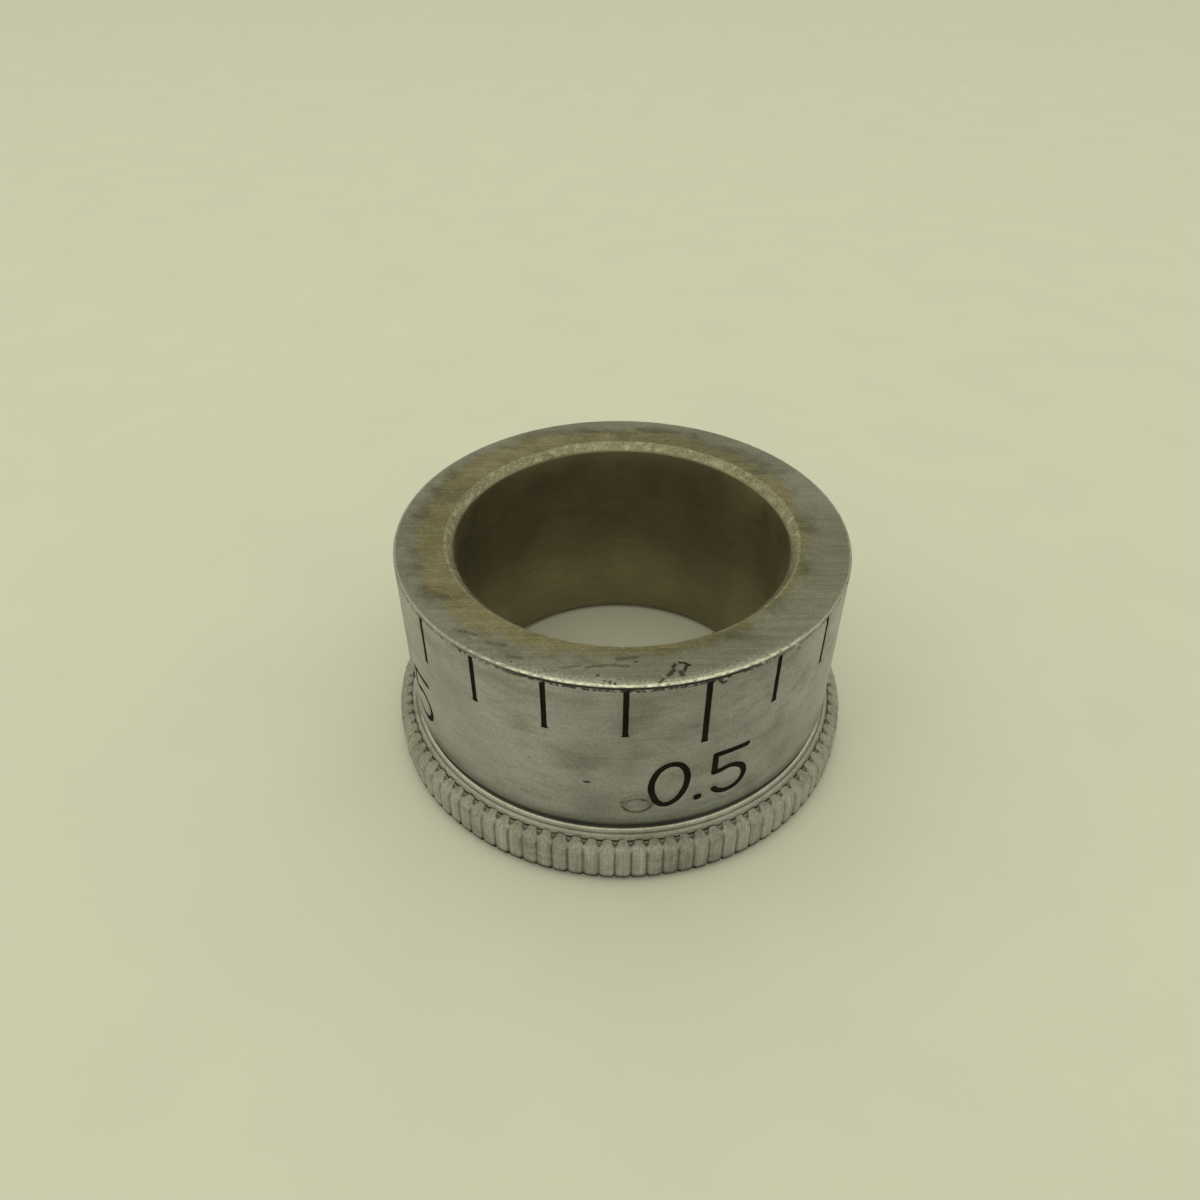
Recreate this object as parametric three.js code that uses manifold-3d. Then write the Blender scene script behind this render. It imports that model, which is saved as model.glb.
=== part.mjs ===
// Graduated collar of a small lathe's handwheel: a turned steel ring with a smooth drum, a knurled
// flange at the bottom and a plain through bore. The drum has 20 engraved divisions, and every fifth
// line is long and has a numeral under it. Each engraved mark holds its own fill of black paint.
// Millimetres, +Z up along the bore. The origin is the centre of the base. The 0.5 mark faces -Y.
import * as THREE from 'three';
import { mergeVertices } from 'three/addons/utils/BufferGeometryUtils.js';
import Module from 'manifold-3d';

// Driving dimensions of the ring.
const HEIGHT = 12.8;
const DRUM_RADIUS = 12;
const BORE_RADIUS = 8.9;
const TOP_BORE_CHAMFER = 0.45;
const BASE_BORE_CHAMFER = 0.4;
const RIM_CHAMFER = 0.18;

// Root groove between the drum and the flange, and the smooth shoulder that slopes from it to the knurl.
const GROOVE_BOTTOM_Z = 2.87;
const GROOVE_HEIGHT = 0.68;
const GROOVE_DEPTH = 0.25;
const SHOULDER_TOP_RADIUS = 11.85;
const SHOULDER_RADIUS = 12.4;

// Straight knurl of the flange. Its teeth start at the shoulder's foot and slope to the top of their crests.
const TOOTH_COUNT = 100;
const KNURL_HEIGHT = 2.5;
const CREST_TOP_Z = 2.2;
const KNURL_RADIUS = 13.05;
const TOOTH_DEPTH = 0.25;
const CREST_SHARE = 0.6;

// Engraved graduations and numerals.
const DIVISION_COUNT = 20;
const LABEL_EVERY = 5;
const LINE_TOP_GAP = 0.26;
const LINE_WIDTH = 0.3;
const SHORT_LINE_END = 3.15;
const LONG_LINE_END = 4.1;
const STROKE_WIDTH = 0.35;
const DIGIT_WIDTH = 1.74;
const DIGIT_HEIGHT = 2.86;
const DIGIT_GAP = 0.6;
const GAP_BEFORE_POINT = 0.63;
const GAP_AFTER_POINT = 0.79;
const POINT_RADIUS = 0.235;
const POINT_LIFT = 0.12;
const BASELINE_DROP = 8.14;
const BASELINE_Z = HEIGHT - BASELINE_DROP;
const ENGRAVED_DEPTH = 0.25;

// A numeral of four characters stands a little to the left of its line and a little high.
const LONG_NUMERAL_SHIFT = -0.3;
const LONG_NUMERAL_LIFT = 0.15;

// The paint stops just short of the groove's walls, floor and mouth.
const PAINT_GAP = 0.02;
const PAINT_TOP_GAP = 0.035;

// The edge where the shoulder meets the teeth, and how far shapes run past it so that they cross cleanly.
const SHOULDER_FOOT = [SHOULDER_RADIUS, KNURL_HEIGHT];
const OVERRUN = 0.2;

const QUARTER_TURN = Math.PI / 2;
const FULL_TURN = Math.PI * 2;
const DIVISION_ANGLE = FULL_TURN / DIVISION_COUNT;
const ZERO_MARK_ANGLE = QUARTER_TURN;

// One numeral for each long line, starting at the zero mark and going round to the right.
const NUMERALS = ['0', '0.25', '0.5', '0.75'];

const wasm = await Module();
wasm.setup();

function toSolid(geometry) {
  const bare = geometry.clone();
  bare.deleteAttribute('normal');
  bare.deleteAttribute('uv');
  const merged = mergeVertices(bare, 1e-5);
  return new wasm.Manifold(new wasm.Mesh({
    numProp: 3,
    vertProperties: new Float32Array(merged.attributes.position.array),
    triVerts: new Uint32Array(merged.index.array),
  }));
}

function toGeometry(solid) {
  const mesh = solid.getMesh();
  const geometry = new THREE.BufferGeometry();
  geometry.setAttribute('position', new THREE.BufferAttribute(mesh.vertProperties, 3));
  geometry.setIndex(new THREE.BufferAttribute(mesh.triVerts, 1));
  geometry.computeVertexNormals();
  return geometry;
}

// A solid of revolution about Z from [radius, z] pairs that start and end on the axis.
function turned(profile) {
  const points = profile.map(([radius, z]) => new THREE.Vector2(radius, z));
  return new THREE.LatheGeometry(points, TOOTH_COUNT).rotateX(QUARTER_TURN);
}

// The [radius, z] point at a given radius on the straight slope through two others.
function onSlope([innerRadius, innerZ], [outerRadius, outerZ], radius) {
  return [radius, THREE.MathUtils.mapLinear(radius, innerRadius, outerRadius, innerZ, outerZ)];
}

// The drum, root groove and shoulder as a solid plug. Its foot ends inside the knurled band.
function drumGeometry() {
  const grooveRadius = DRUM_RADIUS - GROOVE_DEPTH;
  const shoulderTop = [SHOULDER_TOP_RADIUS, GROOVE_BOTTOM_Z];
  const foot = onSlope(shoulderTop, SHOULDER_FOOT, SHOULDER_RADIUS + OVERRUN);
  return turned([
    [0, KNURL_HEIGHT / 2],
    [foot[0], KNURL_HEIGHT / 2],
    foot,
    shoulderTop,
    [grooveRadius, GROOVE_BOTTOM_Z],
    [grooveRadius, GROOVE_BOTTOM_Z + GROOVE_HEIGHT / 4],
    [DRUM_RADIUS - GROOVE_DEPTH / 2, GROOVE_BOTTOM_Z + GROOVE_HEIGHT / 2],
    [DRUM_RADIUS, GROOVE_BOTTOM_Z + GROOVE_HEIGHT],
    [DRUM_RADIUS, HEIGHT - RIM_CHAMFER],
    [DRUM_RADIUS - RIM_CHAMFER, HEIGHT],
    [0, HEIGHT],
  ]);
}

// A prism with the knurl's outline: a flat-crested tooth and a V valley, repeated round the flange.
function toothedGeometry() {
  const pitch = FULL_TURN / TOOTH_COUNT;
  const outline = [];
  for (let tooth = 0; tooth < TOOTH_COUNT; tooth += 1) {
    const middle = tooth * pitch;
    const corners = [
      [-CREST_SHARE / 2, KNURL_RADIUS],
      [CREST_SHARE / 2, KNURL_RADIUS],
      [0.5, KNURL_RADIUS - TOOTH_DEPTH],
    ];
    for (const [share, radius] of corners) {
      const angle = middle + share * pitch;
      outline.push(new THREE.Vector2(radius * Math.cos(angle), radius * Math.sin(angle)));
    }
  }
  const depth = KNURL_HEIGHT + OVERRUN;
  return new THREE.ExtrudeGeometry(new THREE.Shape(outline), { depth, bevelEnabled: false });
}

// The turned shape that the teeth stay within: it slopes from the shoulder's foot to the top of the crests.
function bandLimitGeometry() {
  const crestTop = [KNURL_RADIUS, CREST_TOP_Z];
  const inner = onSlope(SHOULDER_FOOT, crestTop, SHOULDER_RADIUS - OVERRUN);
  const outer = onSlope(SHOULDER_FOOT, crestTop, KNURL_RADIUS + OVERRUN);
  return turned([
    [0, -OVERRUN],
    [outer[0], -OVERRUN],
    outer,
    inner,
    [0, inner[1]],
  ]);
}

// What the bore and its two chamfers take away. It runs past both faces.
function boreGeometry() {
  const past = 1;
  return turned([
    [0, -past],
    [BORE_RADIUS + BASE_BORE_CHAMFER + past, -past],
    [BORE_RADIUS, BASE_BORE_CHAMFER],
    [BORE_RADIUS, HEIGHT - TOP_BORE_CHAMFER],
    [BORE_RADIUS + TOP_BORE_CHAMFER + past, HEIGHT + past],
    [0, HEIGHT + past],
  ]);
}

// Points of an ellipse's arc. Angles are in degrees and may run either way.
function arc(centreX, centreY, radiusX, radiusY, fromDegrees, toDegrees, steps) {
  const points = [];
  for (let step = 0; step <= steps; step += 1) {
    const angle = THREE.MathUtils.degToRad(THREE.MathUtils.lerp(fromDegrees, toDegrees, step / steps));
    points.push(new THREE.Vector2(centreX + radiusX * Math.cos(angle), centreY + radiusY * Math.sin(angle)));
  }
  return points;
}

// The centrelines of the digits, each in a cell with its origin at the lower left.
function zeroLine() {
  const lean = 0.12;
  const steps = 18;
  const middle = new THREE.Vector2(DIGIT_WIDTH / 2, DIGIT_HEIGHT / 2);
  const loop = arc(0, 0, middle.x, middle.y, 0, 360, steps).slice(0, steps);
  return loop.map((point) => new THREE.Vector2(middle.x + point.x + lean * point.y, middle.y + point.y));
}

function twoLine() {
  const bowRadius = DIGIT_WIDTH * 0.475;
  const bowStart = 165;
  const bowEnd = -35;
  return [
    ...arc(DIGIT_WIDTH / 2, DIGIT_HEIGHT - bowRadius, bowRadius, bowRadius, bowStart, bowEnd, 8),
    new THREE.Vector2(0, 0),
    new THREE.Vector2(DIGIT_WIDTH, 0),
  ];
}

function fiveLine() {
  const bowlRadiusX = DIGIT_HEIGHT * 0.32;
  const bowlRadiusY = DIGIT_HEIGHT * 0.305;
  const bowlStart = 117;
  const bowlEnd = -148;
  const stemFoot = DIGIT_HEIGHT * 0.56;
  return [
    new THREE.Vector2(DIGIT_WIDTH, DIGIT_HEIGHT),
    new THREE.Vector2(0, DIGIT_HEIGHT),
    new THREE.Vector2(0, stemFoot),
    ...arc(DIGIT_WIDTH - bowlRadiusX, bowlRadiusY, bowlRadiusX, bowlRadiusY, bowlStart, bowlEnd, 11),
  ];
}

function sevenLine() {
  const footX = DIGIT_WIDTH * 0.3;
  return [
    new THREE.Vector2(0, DIGIT_HEIGHT),
    new THREE.Vector2(DIGIT_WIDTH, DIGIT_HEIGHT),
    new THREE.Vector2(footX, 0),
  ];
}

const DIGIT_LINES = { 0: zeroLine, 2: twoLine, 5: fiveLine, 7: sevenLine };

// A point beside the centreline, on the bisector of its two legs, so that the stroke keeps its width.
function besidePoint(line, index, distance, closed) {
  const longestMitre = 1.85;
  const count = line.length;
  const here = line[index];
  const before = closed ? line[(index + count - 1) % count] : line[Math.max(index - 1, 0)];
  const after = closed ? line[(index + 1) % count] : line[Math.min(index + 1, count - 1)];
  const arriving = here.clone().sub(before).normalize();
  const leaving = after.clone().sub(here).normalize();
  const along = arriving.clone().add(leaving).normalize();
  const leg = leaving.lengthSq() > 0 ? leaving : arriving;
  const stretch = Math.min(1 / Math.max(along.dot(leg), 1e-6), longestMitre);
  return new THREE.Vector2(here.x - along.y * distance * stretch, here.y + along.x * distance * stretch);
}

// One side of a stroke at a point of its centreline. The outside of a sharp corner is rounded by the cutter.
function strokeSide(line, index, distance) {
  const sharpTurn = 0.6;
  const steps = 3;
  if (index > 0 && index < line.length - 1) {
    const arriving = line[index].clone().sub(line[index - 1]).normalize();
    const leaving = line[index + 1].clone().sub(line[index]);
    const turn = Math.atan2(arriving.cross(leaving), arriving.dot(leaving));
    if (Math.abs(turn) > sharpTurn && turn * distance < 0) {
      const start = new THREE.Vector2(-arriving.y, arriving.x).multiplyScalar(distance).add(line[index]);
      return [...Array(steps + 1).keys()].map((step) => (
        start.clone().rotateAround(line[index], (turn * step) / steps)
      ));
    }
  }
  return [besidePoint(line, index, distance, false)];
}

// A half circle from one side of a stroke's end to the other, without its two ends.
function roundEnd(centre, from, steps) {
  const points = [];
  for (let step = 1; step < steps; step += 1) {
    points.push(from.clone().rotateAround(centre, (-2 * QUARTER_TURN * step) / steps));
  }
  return points;
}

function openStroke(line, width) {
  const capSteps = 4;
  const left = line.flatMap((_, index) => strokeSide(line, index, width / 2));
  const right = line.flatMap((_, index) => strokeSide(line, index, -width / 2)).reverse();
  return new THREE.Shape([
    ...left,
    ...roundEnd(line.at(-1), left.at(-1), capSteps),
    ...right,
    ...roundEnd(line[0], right.at(-1), capSteps),
  ]);
}

function loopStroke(line, width) {
  const shape = new THREE.Shape(line.map((_, index) => besidePoint(line, index, -width / 2, true)));
  shape.holes.push(new THREE.Path(line.map((_, index) => besidePoint(line, index, width / 2, true))));
  return shape;
}

// The outline of one character, with the lower left of its cell at corner, made thinner all round by inset.
function characterShape(character, corner, inset) {
  if (character === '.') {
    const radius = POINT_RADIUS - inset;
    const steps = 10;
    const loop = arc(corner.x, corner.y + POINT_LIFT, radius, radius, 0, 360, steps);
    return new THREE.Shape(loop.slice(0, steps));
  }
  const line = DIGIT_LINES[character]().map((point) => point.add(corner));
  const width = STROKE_WIDTH - 2 * inset;
  return character === '0' ? loopStroke(line, width) : openStroke(line, width);
}

// How far the next character starts from the start of this one.
function characterStep(text, index) {
  if (text[index] === '.') {
    return GAP_AFTER_POINT;
  }
  return DIGIT_WIDTH + (text[index + 1] === '.' ? GAP_BEFORE_POINT : DIGIT_GAP);
}

// The lower left corner of each character's cell, for a numeral under the line at x = 0.
function characterCorners(text) {
  const starts = [0];
  for (let index = 0; index < text.length - 1; index += 1) {
    starts.push(starts[index] + characterStep(text, index));
  }
  const isLong = text.length === 4;
  const left = -(starts.at(-1) + DIGIT_WIDTH) / 2 + (isLong ? LONG_NUMERAL_SHIFT : 0);
  const baseline = BASELINE_Z + (isLong ? LONG_NUMERAL_LIFT : 0);
  return starts.map((start) => new THREE.Vector2(left + start, baseline));
}

function lineShape(isLong, inset) {
  const half = LINE_WIDTH / 2 - inset;
  const top = HEIGHT - LINE_TOP_GAP - inset;
  const bottom = HEIGHT - (isLong ? LONG_LINE_END : SHORT_LINE_END) + inset;
  return new THREE.Shape([
    new THREE.Vector2(-half, bottom),
    new THREE.Vector2(half, bottom),
    new THREE.Vector2(half, top),
    new THREE.Vector2(-half, top),
  ]);
}

// A flat outline wrapped on the drum: x runs round it to the right, y is the height, depth is radial.
function wrapped(shape, angle, innerRadius, outerRadius) {
  const depth = outerRadius - innerRadius;
  const geometry = new THREE.ExtrudeGeometry(shape, { depth, bevelEnabled: false });
  const position = geometry.attributes.position;
  for (let index = 0; index < position.count; index += 1) {
    const turn = angle + position.getX(index) / DRUM_RADIUS;
    const radius = innerRadius + position.getZ(index);
    position.setXYZ(index, radius * Math.cos(turn), radius * Math.sin(turn), position.getY(index));
  }
  geometry.computeVertexNormals();
  return geometry;
}

// Every engraved mark: its name, its angle on the drum and its outline for a given inset.
function listMarks() {
  const marks = [];
  for (let division = 0; division < DIVISION_COUNT; division += 1) {
    const angle = ZERO_MARK_ANGLE + division * DIVISION_ANGLE;
    const isLong = division % LABEL_EVERY === 0;
    const hundredths = String(division * (100 / DIVISION_COUNT)).padStart(2, '0');
    marks.push({ name: `line_fill_${hundredths}`, angle, outline: (inset) => lineShape(isLong, inset) });
    if (isLong) {
      const text = NUMERALS[division / LABEL_EVERY];
      const corners = characterCorners(text);
      [...text].forEach((character, index) => {
        const part = character === '.' ? 'point' : `digit_${character}`;
        marks.push({
          name: `numeral_${text.replace('.', '')}_${part}`,
          angle,
          outline: (inset) => characterShape(character, corners[index], inset),
        });
      });
    }
  }
  return marks;
}

function collarGeometry(marks) {
  const past = 0.6;
  const floorRadius = DRUM_RADIUS - ENGRAVED_DEPTH;
  const band = toSolid(toothedGeometry()).intersect(toSolid(bandLimitGeometry()));
  let solid = toSolid(drumGeometry()).add(band).subtract(toSolid(boreGeometry()));
  for (const mark of marks) {
    const cutter = wrapped(mark.outline(0), mark.angle, floorRadius, DRUM_RADIUS + past);
    solid = solid.subtract(toSolid(cutter));
  }
  return toGeometry(solid);
}

function fillGeometry(mark) {
  const innerRadius = DRUM_RADIUS - ENGRAVED_DEPTH + PAINT_GAP;
  const outerRadius = DRUM_RADIUS - PAINT_TOP_GAP;
  return wrapped(mark.outline(PAINT_GAP), mark.angle, innerRadius, outerRadius);
}

function steelMaterial() {
  return new THREE.MeshStandardMaterial({ color: 0x8f8f84, roughness: 0.42, metalness: 0.9 });
}

function paintMaterial() {
  return new THREE.MeshStandardMaterial({ color: 0x0c0c0c, roughness: 0.7, metalness: 0 });
}

function namedMesh(name, geometry, material) {
  const mesh = new THREE.Mesh(geometry, material);
  mesh.name = name;
  return mesh;
}

const marks = listMarks();
const collar = new THREE.Group();
collar.add(namedMesh('graduated_collar', collarGeometry(marks), steelMaterial()));
for (const mark of marks) {
  collar.add(namedMesh(mark.name, fillGeometry(mark), paintMaterial()));
}

export default collar;
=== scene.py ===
"""Looks of the graduated collar: a turned steel ring with engraved, paint-filled marks and a knurled flange.

Shapes are worked out in millimetres and scaled to metres when a mesh is made. Angles on the ring are in
degrees, counterclockwise from +X as in the CAD part, where the 0.5 mark faces -Y. A drop is a height measured
down from the rim. The camera looks at the side called the front, a little to the left of the 0.5 mark.
"""
import math
import random
from collections import namedtuple
from functools import partial

import bmesh
import bpy
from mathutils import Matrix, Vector, noise
from mathutils.geometry import delaunay_2d_cdt
from mathutils.kdtree import KDTree


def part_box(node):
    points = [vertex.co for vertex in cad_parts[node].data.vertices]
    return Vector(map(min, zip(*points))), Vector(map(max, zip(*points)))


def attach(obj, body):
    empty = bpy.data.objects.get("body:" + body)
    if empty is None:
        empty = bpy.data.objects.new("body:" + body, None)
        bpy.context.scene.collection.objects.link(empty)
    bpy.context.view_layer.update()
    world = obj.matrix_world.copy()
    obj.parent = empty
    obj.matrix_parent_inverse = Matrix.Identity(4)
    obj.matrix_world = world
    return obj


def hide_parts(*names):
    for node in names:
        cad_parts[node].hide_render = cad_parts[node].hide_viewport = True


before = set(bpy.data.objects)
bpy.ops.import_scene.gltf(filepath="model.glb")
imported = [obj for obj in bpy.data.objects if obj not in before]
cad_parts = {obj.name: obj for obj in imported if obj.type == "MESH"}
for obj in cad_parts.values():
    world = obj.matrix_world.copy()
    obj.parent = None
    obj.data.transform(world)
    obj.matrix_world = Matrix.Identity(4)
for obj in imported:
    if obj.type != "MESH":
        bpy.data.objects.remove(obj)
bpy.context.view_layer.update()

METRES = 0.001

# The CAD paint's distance from the sides of its groove, and from the drum's surface.
PAINT_GAP = 0.02
PAINT_TOP_GAP = 0.035


def box_in_mm(node):
    low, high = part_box(node)
    return low / METRES, high / METRES


# Sizes that the frame gives.
HEIGHT = round(box_in_mm("graduated_collar")[1].z, 2)
KNURL_RADIUS = round(box_in_mm("graduated_collar")[1].x, 3)
DRUM_RADIUS = round(PAINT_TOP_GAP - box_in_mm("line_fill_50")[0].y, 2)

# Sizes of the CAD part that no box gives.
BORE_RADIUS = 8.9
TOP_BORE_CHAMFER = 0.45
BASE_BORE_CHAMFER = 0.4
GROOVE_TOP_Z = 3.55
TOOTH_COUNT = 100
DIVISION_COUNT = 20
LABEL_EVERY = 5
STROKE_WIDTH = 0.34
DIGIT_WIDTH = 1.74
DIGIT_HEIGHT = 2.86
DIGIT_GAP = 0.6
GAP_BEFORE_POINT = 0.63
GAP_AFTER_POINT = 0.79
POINT_RADIUS = 0.23
POINT_LIFT = 0.12
LONG_NUMERAL_SHIFT = complex(-0.3, 0.15)
BASELINE_Z = HEIGHT - 8.14
ZERO_MARK_ANGLE = 90.0
DIVISION_ANGLE = 360.0 / DIVISION_COUNT
NUMERALS = ("0", "0.25", "0.5", "0.75")

# Sizes of the visual mesh. Its rings start at SEAM_ANGLE, in a knurl valley and between two graduation
# lines. COARSE and FINE are numbers of points in a ring.
SHORT_LINE_WIDTH = 0.27
LONG_LINE_WIDTH = 0.3
LINE_FLARE = 0.06
VALLEY_DEPTH = 0.10
SHOULDER_FOOT = 12.3
FRONT_ANGLE = -109.59
SEAM_ANGLE = 45.0
COARSE = 400
FINE = 1600
RIM_ROUNDING = 0.12
WALL_TOP_Z = HEIGHT - RIM_ROUNDING
TOP_INNER_RADIUS = BORE_RADIUS + TOP_BORE_CHAMFER + 0.1
TOP_OUTER_RADIUS = DRUM_RADIUS - RIM_ROUNDING - 0.03
WALL_WIDTH = 2 * math.pi * DRUM_RADIUS
CLEARANCE_OF_MARKS = 0.2


# ---- small helpers

def on_ring(radius, angle, z):
    turn = math.radians(angle)
    return Vector((radius * math.cos(turn), radius * math.sin(turn), z))


def from_front(angle):
    """How far an angle lies from the front, from -180 to 180; positive is to the camera's right."""
    return (angle - FRONT_ANGLE + 180.0) % 360.0 - 180.0


def smooth(low, high, value):
    share = min(max((value - low) / (high - low), 0.0), 1.0)
    return share * share * (3.0 - 2.0 * share)


def bell(distance, width):
    return math.exp(-(distance / width) ** 2)


def rough(point, grain, seed):
    """Smooth noise from -1 to 1 with features of about the given size."""
    return noise.noise(Vector((point.x / grain + seed, point.y / grain - seed, point.z / grain + 3.7 * seed)))


def distance_to_segment(point, start, end):
    along = end - start
    share = min(max((point - start).dot(along) / along.length_squared, 0.0), 1.0)
    return (point - start - along * share).length


# ---- the mesh on its way

def add_object(name, data):
    thing = bpy.data.objects.new(name, data)
    bpy.context.scene.collection.objects.link(thing)
    return thing


class Shell:
    """Points in millimetres, faces, and a few surface values for each point."""

    # The values where nothing is said. tan is a field: above 0 the metal is stained. The darkening value is
    # dirt and painted shade; bright is painted highlights, partly rubbed polish.
    VALUES = {"dirt": 0.0, "tan": -1.0, "stain": 0.0, "bright": 0.0, "top": 0.0, "bore": 0.0, "knurl": 0.0}

    def __init__(self):
        self.points = []
        self.faces = []
        self.values = {name: [] for name in self.VALUES}

    def add(self, point, **values):
        self.points.append(point)
        for name, column in self.values.items():
            column.append(values.get(name, self.VALUES[name]))
        return len(self.points) - 1

    def ring(self, count, place):
        """A ring of points. place gives the point and its values for an angle."""
        indices = []
        for step in range(count):
            point, values = place(SEAM_ANGLE + 360.0 * step / count)
            indices.append(self.add(point, **values))
        return indices

    def band(self, first, second):
        """Faces between two rings. One has the other's number of points, or a whole multiple of it."""
        fine, coarse = (first, second) if len(first) >= len(second) else (second, first)
        ratio = len(fine) // len(coarse)
        for step, here in enumerate(coarse):
            there = coarse[(step + 1) % len(coarse)]
            run = [fine[(step * ratio + part) % len(fine)] for part in range(ratio + 1)]
            if ratio == 1:
                self.faces.append((here, there, run[1], run[0]))
                continue
            for part in range(ratio):
                corner = here if part < ratio // 2 else there
                self.faces.append((corner, run[part + 1], run[part]))
            self.faces.append((here, there, run[ratio // 2]))

    def bands(self, rings):
        for first, second in zip(rings, rings[1:]):
            self.band(first, second)

    def fill(self, patch, keep=None):
        """Faces for a flat patch. Where keep is given, only those whose three corners it accepts."""
        _, _, triangles, sources, _, _ = delaunay_2d_cdt(patch.flat, patch.edges, [], 0, 1e-7, True)
        for triangle in triangles:
            corners = [sources[corner][0] for corner in triangle]
            if keep is None or keep(corners):
                self.faces.append(tuple(patch.indices[corner] for corner in corners))

    def to_object(self, name):
        sharp_angle = math.radians(35.0)
        mesh = bpy.data.meshes.new(name)
        mesh.from_pydata([point * METRES for point in self.points], [], self.faces)
        for value_name, column in self.values.items():
            attribute = mesh.attributes.new(value_name, "FLOAT", "POINT")
            attribute.data.foreach_set("value", column)
        work = bmesh.new()
        work.from_mesh(mesh)
        bmesh.ops.recalc_face_normals(work, faces=work.faces)
        work.to_mesh(mesh)
        work.free()
        mesh.shade_smooth()
        mesh.set_sharp_from_angle(angle=sharp_angle)
        return add_object(name, mesh)


class Patch:
    """Points in a plane, each with its index in a shell, and edges that the faces must keep."""

    def __init__(self):
        self.flat = []
        self.indices = []
        self.edges = []

    def take(self, place, index):
        self.flat.append(place)
        self.indices.append(index)
        return len(self.flat) - 1

    def close_loop(self, count):
        """Joins the last points taken into a closed loop."""
        first = len(self.flat) - count
        self.edges += [(first + step, first + (step + 1) % count) for step in range(count)]


# ---- outlines of the marks

# A mark's outline(extra) gives closed loops of complex numbers: x to the right from the mark's angle, y the
# height. Its strokes are made wider all round by extra. Each loop has the same points for every extra.
Mark = namedtuple("Mark", "name angle outline")


def arc(centre, radius_x, radius_y, start, end, steps):
    angles = [math.radians(start + (end - start) * step / steps) for step in range(steps + 1)]
    return [centre + complex(radius_x * math.cos(angle), radius_y * math.sin(angle)) for angle in angles]


def zero_line():
    """An oval that leans to the right, fuller at its upper left than at its lower left."""
    lean = 0.12
    steps = 48
    full_at = math.radians(140.0)
    flat_at = math.radians(222.0)
    middle = complex(DIGIT_WIDTH / 2, DIGIT_HEIGHT / 2)
    loop = []
    for step in range(steps):
        angle = math.radians(360.0 * step / steps)
        swell = 1.0 + 0.08 * bell(angle - full_at, 0.7) - 0.07 * bell(angle - flat_at, 0.55)
        loop.append(swell * complex(middle.real * math.cos(angle), middle.imag * math.sin(angle)))
    return [middle + point + lean * point.imag for point in loop]


def two_line():
    bow_radius = DIGIT_WIDTH * 0.475
    bow_centre = complex(DIGIT_WIDTH / 2, DIGIT_HEIGHT - bow_radius)
    return arc(bow_centre, bow_radius, bow_radius, 165, -35, 20) + [0j, complex(DIGIT_WIDTH, 0)]


def five_line():
    bowl_radius_x = DIGIT_HEIGHT * 0.32
    bowl_radius_y = DIGIT_HEIGHT * 0.305
    bowl_centre = complex(DIGIT_WIDTH - bowl_radius_x, bowl_radius_y)
    bar = [complex(DIGIT_WIDTH, DIGIT_HEIGHT), complex(0, DIGIT_HEIGHT)]
    stem_foot = complex(0, DIGIT_HEIGHT * 0.56)
    return bar + [stem_foot] + arc(bowl_centre, bowl_radius_x, bowl_radius_y, 117, -148, 28)


def seven_line():
    return [complex(0, DIGIT_HEIGHT), complex(DIGIT_WIDTH, DIGIT_HEIGHT), complex(DIGIT_WIDTH * 0.3, 0)]


DIGIT_LINES = {"0": zero_line, "2": two_line, "5": five_line, "7": seven_line}


def unit(step):
    return step / abs(step) if step else 0j


def beside(line, index, distance, closed):
    """The point beside one point of a centreline, on the bisector of its two legs."""
    longest_mitre = 1.85
    before = line[index - 1] if closed or index > 0 else line[0]
    after = line[(index + 1) % len(line)] if closed or index < len(line) - 1 else line[-1]
    arriving = unit(line[index] - before)
    leaving = unit(after - line[index])
    along = unit(arriving + leaving)
    leg = leaving or arriving
    straightness = (along * leg.conjugate()).real
    stretch = min(1 / max(straightness, 1e-6), longest_mitre)
    return line[index] + 1j * along * distance * stretch


def fan(centre, start, turn, steps):
    """Points round a centre, from one place to where a turn takes it."""
    turns = [turn * step / steps for step in range(steps + 1)]
    return [centre + start * complex(math.cos(part), math.sin(part)) for part in turns]


def stroke_side(line, index, distance):
    """One side of a stroke at a point of its centreline, rounded outside a sharp corner."""
    sharp_turn = 0.6
    steps = 6
    if 0 < index < len(line) - 1:
        arriving = unit(line[index] - line[index - 1])
        bend = (line[index + 1] - line[index]) / arriving
        turn = math.atan2(bend.imag, bend.real)
        if abs(turn) > sharp_turn and turn * distance < 0:
            return fan(line[index], 1j * arriving * distance, turn, steps)
    return [beside(line, index, distance, False)]


def open_stroke(line, width):
    cap_steps = 8
    count = len(line)
    left = [point for index in range(count) for point in stroke_side(line, index, width / 2)]
    right = [point for index in range(count) for point in stroke_side(line, index, -width / 2)]
    right.reverse()
    far_cap = fan(line[-1], left[-1] - line[-1], -math.pi, cap_steps)
    near_cap = fan(line[0], right[-1] - line[0], -math.pi, cap_steps)
    return [left + far_cap[1:-1] + right + near_cap[1:-1]]


def loop_stroke(line, width):
    count = range(len(line))
    return [[beside(line, index, side * width / 2, True) for index in count] for side in (-1, 1)]


def glyph_outline(glyph, corner, extra):
    """One glyph, with the lower left of its cell at corner."""
    if glyph == ".":
        radius = POINT_RADIUS + extra
        return [arc(corner + 1j * POINT_LIFT, radius, radius, 0, 360, 20)[:-1]]
    line = [corner + point for point in DIGIT_LINES[glyph]()]
    stroke = loop_stroke if glyph == "0" else open_stroke
    return stroke(line, STROKE_WIDTH + 2 * extra)


def line_outline(low, high, width, extra):
    """A graduation line. Its foot is a little wider, where the cutter stopped."""
    flare_low = 0.06
    flare_high = 0.3
    half = width / 2 + extra
    foot_half = half + LINE_FLARE / 2
    foot = low - extra
    right_side = [complex(foot_half, foot), complex(foot_half, foot + flare_low)]
    right_side += [complex(half, low + flare_high), complex(half, high + extra)]
    left_side = [complex(-point.real, point.imag) for point in reversed(right_side)]
    return [right_side + left_side]


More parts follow.
